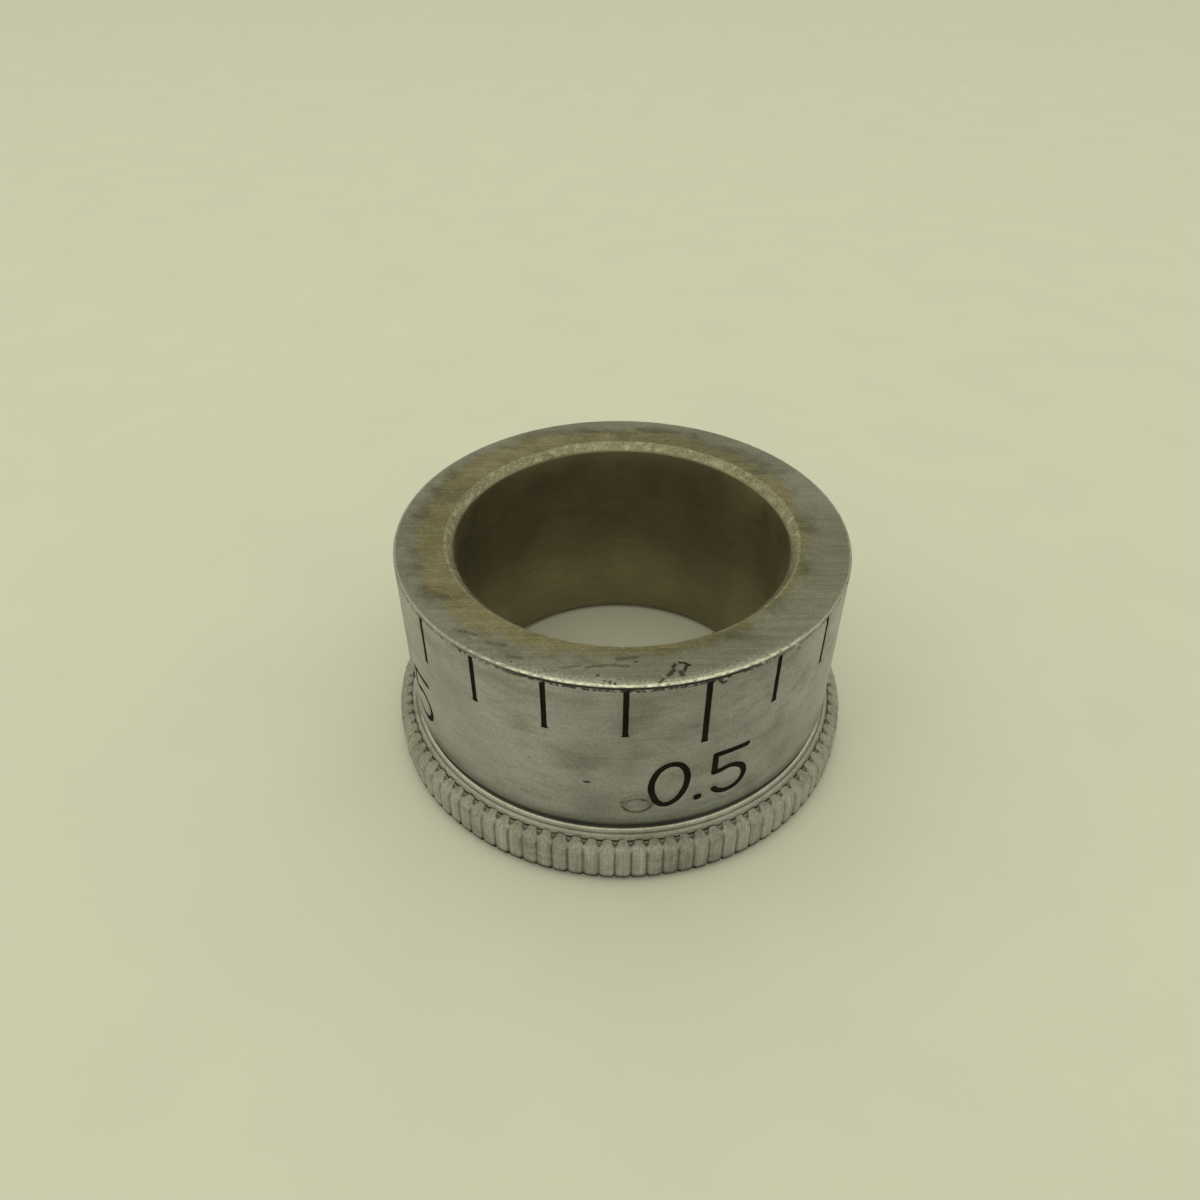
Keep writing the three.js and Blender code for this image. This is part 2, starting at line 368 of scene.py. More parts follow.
def glyph_step(text, index):
    """How far the next glyph starts from the start of this one."""
    if text[index] == ".":
        return GAP_AFTER_POINT
    return DIGIT_WIDTH + (GAP_BEFORE_POINT if text[index + 1] == "." else DIGIT_GAP)


def glyph_corners(text):
    """The lower left corner of each glyph's cell, for a numeral under x = 0."""
    starts = [0.0]
    for index in range(len(text) - 1):
        starts.append(starts[-1] + glyph_step(text, index))
    left = complex(-(starts[-1] + DIGIT_WIDTH) / 2, BASELINE_Z)
    if text in ("0.25", "0.75"):
        left += LONG_NUMERAL_SHIFT
    return [left + start for start in starts]


def line_mark(division):
    name = f"line_fill_{division * 100 // DIVISION_COUNT:02d}"
    low, high = box_in_mm(name)
    foot = low.z - PAINT_GAP
    head = high.z + PAINT_GAP
    angle = ZERO_MARK_ANGLE + division * DIVISION_ANGLE
    width = SHORT_LINE_WIDTH if division % LABEL_EVERY else LONG_LINE_WIDTH
    return Mark(name, angle, partial(line_outline, foot, head, width))


def numeral_marks(text, angle):
    marks = []
    for glyph, corner in zip(text, glyph_corners(text)):
        part = "point" if glyph == "." else f"digit_{glyph}"
        name = f"numeral_{text.replace('.', '')}_{part}"
        marks.append(Mark(name, angle, partial(glyph_outline, glyph, corner)))
    return marks


def list_marks():
    marks = [line_mark(division) for division in range(DIVISION_COUNT)]
    for index, text in enumerate(NUMERALS):
        marks += numeral_marks(text, ZERO_MARK_ANGLE + index * LABEL_EVERY * DIVISION_ANGLE)
    return marks


def dense_loops(mark, extra):
    """The mark's loops in short segments, with a faint wobble that is the same for every extra."""
    longest = 0.13
    wobble = 0.012
    wobble_grain = 0.35
    dense = []
    for plain, loop in zip(mark.outline(0.0), mark.outline(extra)):
        points = []
        for here, there, start, end in zip(plain, plain[1:] + plain[:1], loop, loop[1:] + loop[:1]):
            parts = max(1, math.ceil(abs(there - here) / longest))
            for part in range(parts):
                share = part / parts
                base = here + (there - here) * share
                spot = Vector((base.real, base.imag, mark.angle))
                shake = complex(rough(spot, wobble_grain, 1.0), rough(spot, wobble_grain, 2.0)) * wobble
                points.append(start + (end - start) * share + shake)
        dense.append(points)
    return dense


# ---- damage, dirt, and painted shade and highlights on the surface

# A pit or smear is a row of capsules. On the top face its points are (radius, angle from the front), on the
# drum (drop, angle from the front). Then come its width, its depth and how dark it is, from 0 to 1.
Scar = namedtuple("Scar", "points width depth dark")


def flat_place(first, angle, on_top):
    """A scar's point, on the top face seen from above or on the unrolled drum."""
    if on_top:
        return on_ring(first, angle + FRONT_ANGLE, 0.0).to_2d()
    return unrolled(angle + FRONT_ANGLE, HEIGHT - first)


def unrolled(angle, z):
    turn = (angle - SEAM_ANGLE) % 360.0
    return Vector((math.radians(turn) * DRUM_RADIUS, z))


def scars(on_top, rows):
    return [Scar([flat_place(*point, on_top) for point in points], *rest) for points, *rest in rows]


TOP_SCARS = scars(True, (
    (((11.72, 8.6), (11.51, 9.7)), 0.085, 0.05, 0.6),
    (((11.31, 11.1), (11.18, 11.9), (11.05, 12.5)), 0.125, 0.06, 0.66),
    (((10.85, 12.7), (10.7, 13.4)), 0.11, 0.05, 0.68),
    (((10.62, 14.6), (10.72, 15.9), (10.92, 16.7)), 0.09, 0.05, 0.78),
    (((10.94, 15.9), (11.16, 14.9)), 0.1, 0.05, 0.72),
    (((11.25, 14.0), (11.4, 14.2)), 0.17, 0.05, 0.62),
    (((11.6, -3.5), (11.56, -2.9)), 0.04, 0.02, 0.7),
    (((11.77, -3.4), (11.73, -3.1)), 0.04, 0.02, 0.6),
    (((11.65, -2.3), (11.63, -2.0)), 0.045, 0.02, 0.6),
    (((11.57, -1.7), (11.77, -1.9)), 0.045, 0.03, 0.7),
    (((11.69, -1.0), (11.74, -0.8)), 0.07, 0.04, 0.8),
    (((11.24, -4.8), (11.26, -4.6)), 0.09, 0.03, 0.6),
    (((11.6, -6.7), (11.6, -6.6)), 0.05, 0.03, 0.4),
    (((11.52, -24.9), (11.52, -24.8)), 0.06, 0.04, 0.6),
    (((11.63, -25.7), (11.63, -25.6)), 0.04, 0.03, 0.5),
    (((11.39, -16.7), (11.39, -16.6)), 0.05, 0.03, 0.5),
    (((11.61, -10.8), (11.63, -10.6)), 0.05, 0.03, 0.6),
    (((11.74, 20.4), (11.76, 20.5)), 0.04, 0.03, 0.6),
    (((11.42, 27.5), (11.45, 27.7)), 0.045, 0.03, 0.5),
    (((10.86, -7.7), (10.56, -2.3), (10.64, 2.1)), 0.12, 0.0, 0.42),
    (((10.18, -0.5), (10.07, 4.3)), 0.15, 0.0, 0.45),
    (((10.34, 3.8), (10.37, 4.2)), 0.08, 0.0, 0.5),
    (((11.1, -13.0), (10.8, -9.5)), 0.12, 0.0, 0.36),
    (((11.05, -33.0), (10.75, -29.0)), 0.16, 0.0, 0.42),
    (((11.2, -41.0), (10.95, -37.5)), 0.14, 0.0, 0.38),
    (((11.3, -26.5), (11.1, -23.0)), 0.13, 0.0, 0.4),
))

WALL_SCARS = scars(False, (
    (((6.42, -7.5), (6.4, -6.4)), 0.085, 0.07, 0.8),
    (((3.6, 2.1), (3.6, 2.2)), 0.05, 0.03, 0.5),
    (((5.47, -20.5), (5.47, -20.4)), 0.07, 0.03, 0.6),
    (((0.3, 21.8), (0.5, 22.6), (0.46, 23.3)), 0.09, 0.06, 0.7),
    (((0.28, 20.0), (0.2, 21.1)), 0.06, 0.04, 0.8),
    (((0.3, -37.7), (0.29, -37.2)), 0.07, 0.05, 0.8),
    (((0.24, -36.0), (0.3, -35.4)), 0.08, 0.05, 0.8),
    (((0.46, 43.4), (0.48, 43.8)), 0.07, 0.04, 0.5),
))

# The faint brown ring that a drop left on the drum.
DROP_RING_DROP = 7.85
DROP_RING_ANGLE = 4.69
DROP_RING_HALF_WIDTH = 0.76
DROP_RING_HALF_HEIGHT = 0.66

# Where it dried thicker, in half widths across and half heights up from its middle.
DROP_RING_BLOBS = ((-0.95, 0.1, 0.0), (0.4, 0.35, 0.0))


def scar_share(spot, scar):
    """How far inside a scar a flat spot lies, from 0 outside to 1 in the middle."""
    pairs = zip(scar.points, scar.points[1:])
    distance = min(distance_to_segment(spot, start, end) for start, end in pairs)
    ragged = 1.0 + 0.45 * rough(Vector((spot.x, spot.y, 0)), 0.09, 5.0)
    return 1.0 - smooth(0.5 * scar.width * ragged, 1.25 * scar.width * ragged, distance)


def scarred(spot, scar_list):
    """How deep and how dark the scars are at a flat spot."""
    reach = 0.4
    depth = 0.0
    dark = 0.0
    for scar in scar_list:
        if (spot - scar.points[0]).length > reach + (scar.points[-1] - scar.points[0]).length:
            continue
        here = scar_share(spot, scar)
        depth = max(depth, here * scar.depth)
        dark = max(dark, here * scar.dark)
    return depth, dark


def rim_damage(angle):
    """How badly the rim is bruised: strong over the front, faint behind."""
    away = abs(from_front(angle) + 4.0)
    return 0.35 + 0.65 * (1.0 - smooth(48.0, 75.0, away))


def rim_shine(angle):
    """How strong the painted highlight on the rim is: most where it faces the camera."""
    away = abs(from_front(angle) - 6.0)
    return 0.28 + 0.72 * (1.0 - smooth(16.0, 52.0, away))


def burr(angle, z):
    """The burr just under the bruised rim, a thin line and patches: depth in mm, how dark, how bright. The
    darkness is painted shade under the burr, deepest over the front, and the brightness painted glints.
    """
    drop = HEIGHT - z
    if drop > 0.6:
        return 0.0, 0.0, 0.0
    spot = on_ring(DRUM_RADIUS, angle, 0.0)
    close = on_ring(DRUM_RADIUS, angle, z)
    damage = rim_damage(angle)
    uneven = rough(spot, 0.6, 7.0) + 0.5 * rough(spot, 0.15, 6.5)
    line_share = smooth(-0.5, 0.1, uneven + 1.2 * damage - 0.8)
    line_share *= bell(drop - 0.09 - 0.015 * rough(spot, 0.3, 8.0), 0.06)
    in_front = 1.0 - smooth(18.0, 38.0, abs(from_front(angle) - 4.0))
    line_share *= 0.5 + 0.5 * in_front
    reach = 0.22 + 0.05 * rough(spot, 0.9, 9.0)
    band = bell(drop - reach, 0.085)
    broken = rough(close, 0.22, 10.0) + 0.8 * rough(close, 0.09, 11.0)
    patches = band * smooth(0.0, 0.25, broken + 0.62 * damage - 0.36)
    dark = max(line_share, (0.55 + 0.25 * in_front) * patches)
    glint = band * smooth(0.25, 0.5, rough(close, 0.13, 12.5)) * damage * (1.0 - patches)
    return 0.04 * patches + 0.01 * line_share, dark, glint


def drop_ring(angle, z):
    """How much of the dried drop's brown edge shows, from 0 to 1."""
    across = math.radians(from_front(angle) - DROP_RING_ANGLE) * DRUM_RADIUS / DROP_RING_HALF_WIDTH
    up = (HEIGHT - z - DROP_RING_DROP) / -DROP_RING_HALF_HEIGHT
    spot = Vector((across, up, 0))
    outer = bell(spot.length - 1.0 + 0.08 * rough(spot, 0.8, 2.5), 0.10)
    outer *= 0.35 + 0.65 * smooth(0.3, -0.5, up - 0.3 * across) if up < 1.2 else 0.0
    inner = 0.75 * bell(Vector((across * 1.3, up * 1.9 + 0.1)).length - 1.0, 0.16) * smooth(-0.6, 0.2, up)
    blobs = max(bell((spot - Vector(blob)).length, 0.14) for blob in DROP_RING_BLOBS)
    return min(max(outer, inner, blobs) * (0.8 + 0.4 * rough(spot, 0.35, 3.5)), 1.0)


def painted_dark_reflection(angle, z):
    """A faint, patchy painted dark reflection over the front of the drum and to its right."""
    turn = from_front(angle)
    patchy = 0.29 + 0.12 * rough(on_ring(DRUM_RADIUS, angle, z), 1.4, 24.0)
    return smooth(-34.0, -8.0, turn) * (1.0 - smooth(36.0, 60.0, turn)) * patchy


def wall_point(shell, angle, z, sunk=0.0, inside=0.0):
    """A point of the drum's wall. inside is 1 for a point within an engraved groove."""
    spot = unrolled(angle, z)
    depth, share = scarred(spot, WALL_SCARS)
    burr_depth, burr_dark, glint = burr(angle, z)
    depth = max(depth, burr_depth)
    point = on_ring(DRUM_RADIUS - depth - sunk, angle, z)
    # Painted shade: the drum darkens towards the root groove at its foot.
    painted_foot_shade = 0.48 * (1.0 - smooth(GROOVE_TOP_Z - 0.2, GROOVE_TOP_Z + 1.25, z))
    dirt = max(share, burr_dark, inside, painted_foot_shade, painted_dark_reflection(angle, z))
    return shell.add(point, dirt=dirt, stain=drop_ring(angle, z), bright=glint)


# ---- bore, top face and rim

def bore_rings(shell):
    """The base chamfer, the bore's wall and the top chamfer, from the base up."""
    wall_low = BASE_BORE_CHAMFER
    wall_high = HEIGHT - TOP_BORE_CHAMFER
    wall_rows = 8
    soft = 0.06
    edge = TOP_BORE_CHAMFER - 0.05
    profile = [(BORE_RADIUS + BASE_BORE_CHAMFER, 0.0), (BORE_RADIUS + soft, wall_low - soft)]
    profile += [(BORE_RADIUS, wall_low + soft + (wall_high - wall_low - 2 * soft) * row / wall_rows)
                for row in range(wall_rows + 1)]
    profile += [(BORE_RADIUS + soft * 0.3, wall_high - soft * 0.2)]
    profile += [(BORE_RADIUS + edge * share, wall_high + edge * share) for share in (0.25, 0.5, 0.75, 1.0)]
    profile += [(BORE_RADIUS + TOP_BORE_CHAMFER + 0.02, HEIGHT - 0.018)]
    return [shell.ring(COARSE, partial(bore_place, radius, z)) for radius, z in profile]


def bore_place(radius, z, angle):
    """A point of the bore or of its chamfers, and its values."""
    spot = on_ring(radius, angle, z)
    wall_top = HEIGHT - TOP_BORE_CHAMFER
    chamfer = smooth(wall_top - 0.02, wall_top + 0.1, z)
    worn = 0.02 * chamfer * rough(spot, 0.6, 4.0) + 0.012 * chamfer * rough(spot, 0.2, 6.0)
    point = on_ring(radius + worn, angle, z)
    # Painted highlights on the chamfer and along its lower edge.
    glint = chamfer * (0.32 + 0.12 * smooth(0.1, 0.45, rough(spot, 0.35, 4.5)))
    glint = max(glint, 0.34 * bell(z - wall_top - 0.04, 0.05))
    # Painted shade: the bore's wall darkens upwards, less on the side to the camera's right, and the chamfer
    # a little.
    lit_side = 0.35 * bell(from_front(angle) - 95.0, 35.0)
    shade = (0.42 - lit_side) * smooth(-1.0, 8.0, z) * (1.0 - chamfer) + 0.15 * chamfer
    film = 3.0 * chamfer - 1.0
    return point, {"bore": 1.0 - chamfer, "top": chamfer, "tan": film, "bright": glint, "dirt": shade}


# How far out from the chamfer the old varnish runs, in mm, at even steps from the front.
VARNISH_REACHES = (0.55, 0.3, 0.45, 0.95, 1.3, 1.6, 1.5, 1.3)


def varnish_reach(angle):
    place = from_front(angle) % 360.0 / 360.0 * len(VARNISH_REACHES)
    station = int(place)
    here = VARNISH_REACHES[station % len(VARNISH_REACHES)]
    there = VARNISH_REACHES[(station + 1) % len(VARNISH_REACHES)]
    return here + (there - here) * smooth(station, station + 1, place)


def rim_polish_and_highlight(radius, angle):
    """How much the top face is rubbed bright towards the rim, with a painted highlight that is strongest
    where the rim faces the camera.
    """
    patchy = 0.75 + 0.9 * rough(on_ring(DRUM_RADIUS, angle, 0.0), 0.25, 14.5)
    near = 0.24 * smooth(10.9, 11.45, radius) + 0.22 * smooth(11.4, 11.8, radius)
    near += 0.5 * smooth(11.76, 11.86, radius) * patchy
    return max(near, 0.0) * rim_shine(angle)


def top_values(radius, angle):
    field = TOP_INNER_RADIUS + varnish_reach(angle) - radius
    return {"tan": field, "top": 1.0, "bright": rim_polish_and_highlight(radius, angle)}


def top_edge_place(radius, angle):
    """A point of the inner or the outer edge of the flat top face."""
    return on_ring(radius, angle, HEIGHT), top_values(radius, angle)


def take_on_top(patch, shell, place):
    """A point of the flat top face, sunk where a pit is."""
    depth, dark = scarred(place, TOP_SCARS)
    angle = math.degrees(math.atan2(place.y, place.x))
    values = top_values(math.hypot(place.x, place.y), angle)
    patch.take(place, shell.add(Vector((place.x, place.y, HEIGHT - depth)), dirt=dark, **values))


def scar_box(scar, margin):
    across = [point.x for point in scar.points]
    along = [point.y for point in scar.points]
    return min(across) - margin, max(across) + margin, min(along) - margin, max(along) + margin


def in_any_box(point, boxes, margin):
    for low_x, high_x, low_y, high_y in boxes:
        across = low_x - margin < point.x < high_x + margin
        if across and low_y - margin < point.y < high_y + margin:
            return True
    return False


def close_points(scar_list, step, margin):
    """A grid of points over each scar, none of them twice, and the boxes that they fill."""
    points = []
    boxes = []
    for scar in scar_list:
        box = scar_box(scar, margin)
        low_x, high_x, low_y, high_y = box
        for column in range(int((high_x - low_x) / step) + 1):
            for row in range(int((high_y - low_y) / step) + 1):
                point = Vector((low_x + column * step, low_y + row * step))
                if not in_any_box(point, boxes, step / 2):
                    points.append(point)
        boxes.append(box)
    return points, boxes


def add_top_face(shell, inner_ring, outer_ring):
    """The flat top face between two rings, with close points over its pits."""
    radii = (9.75, 10.15, 10.6, 11.0, 11.35, 11.62, 11.77)
    step = 0.045
    margin = 0.16
    patch = Patch()
    for ring in (inner_ring, outer_ring):
        for index in ring:
            patch.take(shell.points[index].to_2d(), index)
        patch.close_loop(len(ring))
    close, boxes = close_points(TOP_SCARS, step, margin)
    for radius in radii:
        for column in range(COARSE):
            place = on_ring(radius, SEAM_ANGLE + 360.0 * column / COARSE, 0.0).to_2d()
            if not in_any_box(place, boxes, step):
                take_on_top(patch, shell, place)
    for place in close:
        if place.length < TOP_OUTER_RADIUS - step:
            take_on_top(patch, shell, place)

    def outside_bore(corners):
        return any(corner >= len(inner_ring) for corner in corners)

    shell.fill(patch, outside_bore)


def rim_rings(shell):
    """The rounded, worn edge between the top face and the drum."""
    rows = 7
    chips = rim_chips()
    return [shell.ring(FINE, partial(rim_place, chips, 90.0 * row / rows)) for row in range(rows + 1)]


def rim_place(chips, slope, angle):
    """A point of the rim, and its values. slope goes from 0 degrees at the top face to 90 at the drum."""
    turn = math.radians(slope)
    spot = on_ring(DRUM_RADIUS, angle, 0.0)
    lost = (0.015 + 0.015 * rough(spot, 0.8, 12.0) + 0.02 * rough(spot, 0.16, 13.0)) * rim_damage(angle)
    lost = (lost + chip_depth(chips, angle)) * math.sin(2 * turn)
    radius = DRUM_RADIUS - RIM_ROUNDING + (RIM_ROUNDING - lost) * math.sin(turn)
    z = HEIGHT - RIM_ROUNDING + (RIM_ROUNDING - lost) * math.cos(turn)
    # Painted highlight: the rounded top of the rim is lighter, patchy like wear and strongest where it faces
    # the camera.
    worn = (1.0 - smooth(20.0, 55.0, slope)) * (0.7 + 0.8 * rough(spot, 0.2, 14.0)) * rim_shine(angle)
    unworn_z = HEIGHT - RIM_ROUNDING * (1.0 - math.cos(turn))
    _, dark, glint = burr(angle, unworn_z)
    return on_ring(radius, angle, z), {"bright": max(worn, glint), "dirt": dark}


def rim_chips():
    """Small bites out of the rim: (angle, half width in degrees, depth in mm)."""
    chooser = random.Random(11)
    count = 60
    spread = 42.0
    chips = []
    for _ in range(count):
        angle = FRONT_ANGLE + chooser.gauss(0.0, spread)
        chips.append((angle, chooser.uniform(0.15, 0.5), chooser.uniform(0.01, 0.045)))
    return chips


def chip_depth(chips, angle):
    depth = 0.0
    for middle, half_width, size in chips:
        away = (angle - middle + 180.0) % 360.0 - 180.0
        if abs(away) < 3 * half_width:
            depth = max(depth, size * bell(away, half_width))
    return depth


# ---- drum wall with its engraving

# Each level of an engraved groove's side: how far outside the outline, how deep, and how far inside.
GROOVE_LEVELS = ((0.03, 0.0, 0.0), (0.0, 0.02, 0.3), (-0.03, 0.22, 1.0))


def plain_place(radius, z, values, angle):
    """A point of a circle with the same values all round."""
    return on_ring(radius, angle, z), values


def take_wall_edge(patch, z, ring):
    """The upper or lower edge of the unrolled wall, along a ring of the shell."""
    count = len(ring)
    places = [Vector((WALL_WIDTH * step / count, z)) for step in range(count + 1)]
    run = [patch.take(place, index) for place, index in zip(places, ring + ring[:1])]
    patch.edges += zip(run, run[1:])


def take_on_wall(patch, shell, place, sunk=0.0, inside=0.0):
    """A point of the unrolled wall, which is x mm round from the seam."""
    angle = SEAM_ANGLE + math.degrees(place.x / DRUM_RADIUS)
    patch.take(place, wall_point(shell, angle, place.y, sunk, inside))


def take_engraving(patch, shell, marks):
    """The sides of the engraved grooves. Returns the marks' outlines."""
    outlines = []
    for mark in marks:
        centre = unrolled(mark.angle, 0.0).x
        for extra, sunk, inside in GROOVE_LEVELS:
            for loop in dense_loops(mark, extra):
                for point in loop:
                    take_on_wall(patch, shell, Vector((centre + point.real, point.imag)), sunk, inside)
                patch.close_loop(len(loop))
                if extra == 0.0:
                    outlines += patch.flat[-len(loop):]
    return outlines


def clear_of(outlines):
    """A test for whether a place on the unrolled wall is clear of the marks."""
    tree = KDTree(len(outlines))
    for index, place in enumerate(outlines):
        tree.insert(place.to_3d(), index)
    tree.balance()
    return lambda place: tree.find(place.to_3d())[2] > CLEARANCE_OF_MARKS


def take_wall_row(patch, shell, z, count, is_wanted):
    """One plain row. Its two ends are one point of the shell, at the seam."""
    end = wall_point(shell, SEAM_ANGLE, z)
    patch.take(Vector((0.0, z)), end)
    patch.take(Vector((WALL_WIDTH, z)), end)
    for step in range(1, count):
        place = Vector((WALL_WIDTH * step / count, z))
        if is_wanted(place):
            patch.take(place, wall_point(shell, SEAM_ANGLE + 360.0 * step / count, z))


def add_wall(shell, top_ring, marks):
    """The drum's wall with its engraving, from the rim down. Returns its lowest ring."""
    # The ring at the groove's top is darkened as painted shade.
    bottom_ring = shell.ring(COARSE, partial(plain_place, DRUM_RADIUS, GROOVE_TOP_Z, {"dirt": 0.40}))
    patch = Patch()
    take_wall_edge(patch, WALL_TOP_Z, top_ring)
    take_wall_edge(patch, GROOVE_TOP_Z, bottom_ring)
    is_clear = clear_of(take_engraving(patch, shell, marks))
    step = 0.05
    margin = 0.2
    gap = 0.03
    close, boxes = close_points(WALL_SCARS + [drop_ring_box()], step, margin)

    def is_wanted(place):
        return is_clear(place) and not in_any_box(place, boxes, gap)

    for z, count in wall_rows():
        take_wall_row(patch, shell, z, count, is_wanted)
    for place in close:
        if is_clear(place) and place.y < WALL_TOP_Z - gap:
            take_on_wall(patch, shell, place)
    shell.fill(patch)
    return bottom_ring


def drop_ring_box():
    """A scar with no depth, as large as the dried drop, that gives it close points."""
    middle = unrolled(FRONT_ANGLE + DROP_RING_ANGLE, HEIGHT - DROP_RING_DROP)
    reach = Vector((DROP_RING_HALF_WIDTH, DROP_RING_HALF_HEIGHT))
    return Scar([middle - reach, middle + reach], 0.0, 0.0, 0.0)


def wall_rows():
    """Heights and point counts of the wall's plain rows: close under the rim, wide below."""
    close_rows = 6
    wide_rows = 28
    highest = HEIGHT - 0.52
    fall = GROOVE_TOP_Z + 0.12 - highest
    rows = [(HEIGHT - 0.16 - 0.05 * step, FINE) for step in range(close_rows)]
    return rows + [(highest + fall * step / (wide_rows - 1), COARSE) for step in range(wide_rows)]


# ---- root groove, shoulder and knurl

# (radius, z, dirt and painted shade) from the groove's soft upper edge down, and then over the shoulder with
# its fine turned line. The groove's dark band is dirt and painted shade, the dark rings in the shoulder's
# creases painted shade;
# a shoulder ring with none gets a painted highlight line.
GROOVE_PROFILE = (
    (11.99, 3.47, 0.47), (11.965, 3.38, 0.51), (11.93, 3.29, 0.56), (11.88, 3.2, 0.6),
    (11.83, 3.11, 0.64), (11.785, 3.02, 0.67), (11.76, 2.95, 0.68), (11.765, 2.9, 0.68),
    (11.8, 2.872, 0.68), (11.85, 2.865, 0.6),
)
SHOULDER_PROFILE = (
    (11.87, 2.855, 0.25), (11.895, 2.832, 0.0), (11.925, 2.802, 0.0), (11.96, 2.767, 0.12),
    (12.0, 2.727, 0.25), (12.04, 2.675, 0.55), (12.06, 2.655, 0.55), (12.08, 2.64, 0.35),
    (12.11, 2.625, 0.12), (12.16, 2.597, 0.16), (12.2, 2.577, 0.25), (12.24, 2.556, 0.42),
)

# (radius, z, depth of the valleys there) over a tooth, from the seam at the shoulder's foot to the base.
TOOTH_PROFILE = (
    (12.275, 2.535, 0.0), (12.31, 2.517, 0.0), (12.345, 2.505, 0.0), (12.39, 2.49, 0.0),
    (12.45, 2.47, 0.0), (12.52, 2.45, 0.05), (12.6, 2.426, 0.15), (12.68, 2.396, 0.3),
    (12.77, 2.35, 0.5), (12.86, 2.29, 0.7), (12.94, 2.2, 0.85), (12.995, 2.07, 1.0),
    (13.03, 1.85, 1.0), (13.035, 0.7, 1.0), (13.03, 0.5, 1.0), (13.0, 0.32, 1.0),
    (12.9, 0.16, 1.0), (12.66, 0.0, 1.0),
)


def lower_rings(shell):
    """The root groove and the shoulder, from the drum's foot down to the knurl."""
    places = [partial(plain_place, radius, z, {"dirt": dirt}) for radius, z, dirt in GROOVE_PROFILE]
    for radius, z, dirt in SHOULDER_PROFILE:
        # Shoulder rings that are not darkened get a painted highlight line.
        bright = 0.0 if dirt else 0.5
        places.append(partial(plain_place, radius, z, {"dirt": dirt, "bright": bright}))
    return [shell.ring(COARSE, place) for place in places]


Tooth = namedtuple("Tooth", "loss width lean streaks")


def list_teeth():
    """How the teeth differ: what their crests lost, their width, lean and fine streaks."""
    chooser = random.Random(5)
    teeth = []
    for _ in range(TOOTH_COUNT):
        streaks = [chooser.uniform(-1.0, 1.0) for _ in range(FINE // TOOTH_COUNT + 1)]
        loss = chooser.uniform(0.0, 0.03)
        width = chooser.uniform(0.92, 1.05)
        lean = chooser.uniform(-0.06, 0.06)
        teeth.append(Tooth(loss, width, lean, streaks))
    return teeth


def pocket_share(radius, across, spot):
    """How far inside the V-shaped pocket at a valley's head a place lies, from 0 to 1, and its outline."""
    tip_radius = 12.80 + 0.05 * rough(spot, 0.5, 17.0)
    half_width = 0.55 * (tip_radius - radius) / (tip_radius - SHOULDER_FOOT)
    inside = half_width - (1.0 - across) + 0.06 * rough(spot, 0.12, 18.0)
    return smooth(0.0, 0.16, inside), bell(inside - 0.02, 0.09)


def knurl_painted_shade(radius, z, spot, across, on_slope):
    """Painted shade at the seam, in the pockets, on the upward slope and at the foot, and how far inside a
    pocket this is.
    """
    pocket, outline = pocket_share(radius, across, spot)
    wave = 0.035 * smooth(0.2, 0.8, across) + 0.02 * rough(spot, 0.3, 16.5)
    seam = bell(radius - SHOULDER_FOOT - wave, 0.055)
    painted_seam_shade = seam * (0.62 + 0.25 * rough(spot, 0.35, 16.0) + 0.3 * pocket)
    painted_pocket_shade = on_slope * (0.5 * pocket + 0.5 * outline * (0.6 + 0.9 * rough(spot, 0.1, 21.0)))
    painted_slope_shade = 0.30 * smooth(1.6, 2.35, z) + 0.12 * rough(spot, 0.15, 23.0) * on_slope
    painted_foot_shade = (1.0 - smooth(0.25, 0.78, z)) * (0.85 + 0.15 * smooth(0.4, 0.75, across))
    return max(painted_seam_shade, painted_pocket_shade, painted_slope_shade, painted_foot_shade), pocket


def knurl_place(teeth, radius, z, valley_share, angle):
    """A point of the knurled band and its values."""
    # Where the angle falls on its tooth: across goes from 0 on the crest to 1 in the valley.
    position = angle * TOOTH_COUNT / 360.0
    number = math.floor(position + 0.5)
    tooth = teeth[number % TOOTH_COUNT]
    offset = (position - number) * 2.0
    across = abs(offset + tooth.lean * (1.0 - abs(offset)))
    streak = tooth.streaks[round((offset + 1.0) * 0.5 * (len(tooth.streaks) - 1))]
    spot = on_ring(KNURL_RADIUS, angle, z * 0.3)
    on_teeth = smooth(SHOULDER_FOOT + 0.2, KNURL_RADIUS - 0.1, radius)
    on_slope = bell(radius - 12.50, 0.27) if z > 2.2 else 0.0

    # What is missing from the tooth, and how far the pockets sink.
    valley = smooth(0.64 * tooth.width, 1.0, across)
    loss = (tooth.loss + 0.012 * across * across + 0.006 * streak) * on_teeth
    loss += VALLEY_DEPTH * valley * valley_share
    dirt, pocket = knurl_painted_shade(radius, z, spot, across, on_slope)
    sunk = (0.09 * pocket + 0.015 * rough(spot, 0.1, 19.0)) * on_slope
    point = on_ring(radius - loss, angle, max(z - sunk, 0.0))

    # Painted highlights: streaks on the crests and specks on the slope. The valleys are darkened as painted
    # shade.
    crest_glint = 0.42 * smooth(0.1, 0.9, streak) * on_teeth * (1.0 - smooth(0.3, 0.7, across))
    slope_glint = 0.5 * on_slope * smooth(0.15, 0.5, rough(spot, 0.14, 22.0)) * smooth(0.4, 0.8, across)
    dirt = min(max(dirt, 0.48 * valley * valley_share, 9.0 * tooth.loss * on_teeth), 1.0)
    return point, {"knurl": 1.0, "dirt": dirt, "bright": max(crest_glint, slope_glint)}


def knurl_rings(shell):
    teeth = list_teeth()
    return [shell.ring(FINE, partial(knurl_place, teeth, *levels)) for levels in TOOTH_PROFILE]


def base_rings(shell):
    radii = (12.2, 11.2, 10.2)
    return [shell.ring(COARSE, partial(plain_place, radius, 0.0, {})) for radius in radii]


